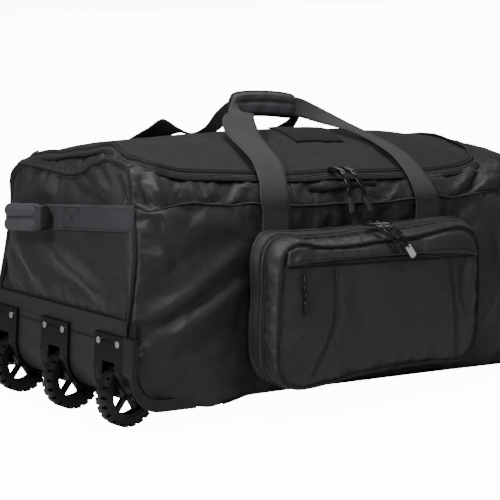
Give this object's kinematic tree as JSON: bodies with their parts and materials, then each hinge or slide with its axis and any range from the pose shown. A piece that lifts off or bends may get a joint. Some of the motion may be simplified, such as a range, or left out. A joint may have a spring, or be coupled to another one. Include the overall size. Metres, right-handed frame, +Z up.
{
  "type": "rolling duffel bag",
  "caption": "Long soft-sided rolling duffel with a zipped arched lid, carry handles, a zipped front pocket and a row of wheels at one end.",
  "frame": {"origin": "centre of the bounding box at floor level, with the bag standing on its wheels and far bottom edge", "axes": "+X along the bag away from the wheels, -Y towards the front pocket, +Z up"},
  "size_m": [0.8932, 0.4805, 0.4633],
  "materials": {
    "body_fabric": "matte woven polyester",
    "pocket_fabric": "matte woven polyester",
    "webbing": "ribbed polypropylene webbing",
    "grip_fabric": "padded woven polyester",
    "patch": "brushed loop pile",
    "zip": "coil zip on woven tape",
    "kick_plastic": "fine-grained satin",
    "housing_plastic": "satin moulded",
    "board": "plain sheet",
    "tyre": "moulded rubber",
    "rim_plastic": "moulded",
    "bush_nylon": "plain",
    "steel": "bright",
    "slider_metal": "black lacquered",
    "pull_rubber": "satin"
  },
  "bodies": {
    "bag_body": {"back_panel": "body_fabric", "base_board": "board", "base_panel": "body_fabric", "corner_rail_front": "housing_plastic", "corner_rail_rear": "housing_plastic", "end_handle_grip": "grip_fabric", "end_handle_webbing": "webbing", "far_end_panel": "body_fabric", "front_panel": "body_fabric", "front_webbing_left": "webbing", "front_webbing_right": "webbing", "housing_rivets": "steel", "kick_plate": "kick_plastic", "main_zip_body_tape": "zip", "pocket_backing": "pocket_fabric", "pocket_gusset": "pocket_fabric", "pocket_tray": "pocket_fabric", "pocket_zip_body_tape": "zip", "rear_webbing_left": "webbing", "rear_webbing_right": "webbing", "top_border": "body_fabric", "tow_handle_grip": "grip_fabric", "tow_handle_webbing": "webbing", "wheel_axles": "steel", "wheel_end_board": "board", "wheel_end_panel": "body_fabric", "wheel_housing_front": "housing_plastic", "wheel_housing_middle": "housing_plastic", "wheel_housing_rear": "housing_plastic"},
    "lid": {"lid_panel": "body_fabric", "lid_patch": "patch", "main_zip_lid_tape": "zip"},
    "pocket_door": {"pocket_door_panel": "pocket_fabric", "pocket_zip_door_tape": "zip", "slip_flap": "pocket_fabric", "slip_zip_tape": "zip"},
    "front_handle": {"front_handle_webbing": "webbing", "front_grip_pad": "grip_fabric"},
    "rear_handle": {"rear_handle_webbing": "webbing", "rear_grip_pad": "grip_fabric"},
    "wheel_front": {"tyre_front": "tyre", "rim_front": "rim_plastic", "bush_front": "bush_nylon"},
    "wheel_middle": {"tyre_middle": "tyre", "rim_middle": "rim_plastic", "bush_middle": "bush_nylon"},
    "wheel_rear": {"tyre_rear": "tyre", "rim_rear": "rim_plastic", "bush_rear": "bush_nylon"},
    "lid_slider_left": {"lid_slider_left": "slider_metal"},
    "lid_slider_right": {"lid_slider_right": "slider_metal"},
    "lid_pull_left": {"lid_pull_left": "pull_rubber"},
    "lid_pull_right": {"lid_pull_right": "pull_rubber"},
    "pocket_slider_left": {"pocket_slider_left": "slider_metal"},
    "pocket_slider_right": {"pocket_slider_right": "slider_metal"},
    "pocket_pull_left": {"pocket_pull_left": "pull_rubber"},
    "pocket_pull_right": {"pocket_pull_right": "pull_rubber"},
    "slip_slider": {"slip_slider": "slider_metal"},
    "slip_pull": {"slip_pull": "pull_rubber"}
  },
  "joints": [
    {"name": "wheel_front_spin", "type": "hinge", "parent": "bag_body", "child": "wheel_front", "pos_m": [-0.38612, -0.109, 0.0475], "axis": [0, 1, 0], "continuous": true},
    {"name": "wheel_middle_spin", "type": "hinge", "parent": "bag_body", "child": "wheel_middle", "pos_m": [-0.38612, 0.035, 0.0475], "axis": [0, 1, 0], "continuous": true},
    {"name": "wheel_rear_spin", "type": "hinge", "parent": "bag_body", "child": "wheel_rear", "pos_m": [-0.38612, 0.179, 0.0475], "axis": [0, 1, 0], "continuous": true},
    {"name": "lid_hinge", "type": "hinge", "parent": "bag_body", "child": "lid", "pos_m": [0.00386, 0.208, 0.34925], "axis": [-0.9985, 0, 0.0543], "range_deg": [0, 110], "deforming": ["front_handle_webbing", "front_grip_pad", "rear_handle_webbing", "rear_grip_pad"]},
    {"name": "front_handle_hinge", "type": "hinge", "parent": "bag_body", "child": "front_handle", "pos_m": [0.00084, -0.169, 0.29384], "axis": [0.9985, 0, -0.0543], "range_deg": [0, 130]},
    {"name": "rear_handle_hinge", "type": "hinge", "parent": "bag_body", "child": "rear_handle", "pos_m": [0.00084, 0.239, 0.29384], "axis": [-0.9985, 0, 0.0543], "range_deg": [0, 180]},
    {"name": "pocket_door_hinge", "type": "hinge", "parent": "bag_body", "child": "pocket_door", "pos_m": [0.00857, -0.235, 0.06783], "axis": [0.9985, 0, -0.0543], "range_deg": [0, 85]},
    {"name": "lid_slider_left_slide", "type": "slide", "parent": "bag_body", "child": "lid_slider_left", "axis": [0.9985, 0, -0.0543], "range_m": [-0.32, 0]},
    {"name": "lid_slider_right_slide", "type": "slide", "parent": "bag_body", "child": "lid_slider_right", "axis": [0.9985, 0, -0.0543], "range_m": [0, 0.33]},
    {"name": "pocket_slider_left_slide", "type": "slide", "parent": "pocket_door", "child": "pocket_slider_left", "axis": [0.9985, 0, -0.0543], "range_m": [-0.15, 0]},
    {"name": "pocket_slider_right_slide", "type": "slide", "parent": "pocket_door", "child": "pocket_slider_right", "axis": [0.9985, 0, -0.0543], "range_m": [0, 0.185]},
    {"name": "slip_slider_slide", "type": "slide", "parent": "pocket_door", "child": "slip_slider", "axis": [0.9985, 0, -0.0543], "range_m": [0, 0.345]},
    {"name": "lid_pull_left_swing", "type": "hinge", "parent": "lid_slider_left", "child": "lid_pull_left", "pos_m": [-0.0238, -0.154, 0.35627], "axis": [-0.9985, 0, 0.0543], "range_deg": [0, 120]},
    {"name": "lid_pull_right_swing", "type": "hinge", "parent": "lid_slider_right", "child": "lid_pull_right", "pos_m": [-0.00383, -0.154, 0.35518], "axis": [-0.9985, 0, 0.0543], "range_deg": [0, 120]},
    {"name": "pocket_pull_left_swing", "type": "hinge", "parent": "pocket_slider_left", "child": "pocket_pull_left", "pos_m": [-0.00629, -0.2155, 0.27319], "axis": [-0.9985, 0, 0.0543], "range_deg": [0, 100]},
    {"name": "pocket_pull_right_swing", "type": "hinge", "parent": "pocket_slider_right", "child": "pocket_pull_right", "pos_m": [0.00769, -0.2155, 0.27243], "axis": [-0.9985, 0, 0.0543], "range_deg": [0, 100]},
    {"name": "slip_pull_swing", "type": "hinge", "parent": "slip_slider", "child": "slip_pull", "pos_m": [-0.16008, -0.2385, 0.22598], "axis": [-0.9985, 0, 0.0543], "range_deg": [0, 100]}
  ],
  "couplings": [
    {"joint": "front_handle_hinge", "follows": "lid_hinge", "ratio": 1.1818},
    {"joint": "rear_handle_hinge", "follows": "lid_hinge", "ratio": 1.6364}
  ]
}
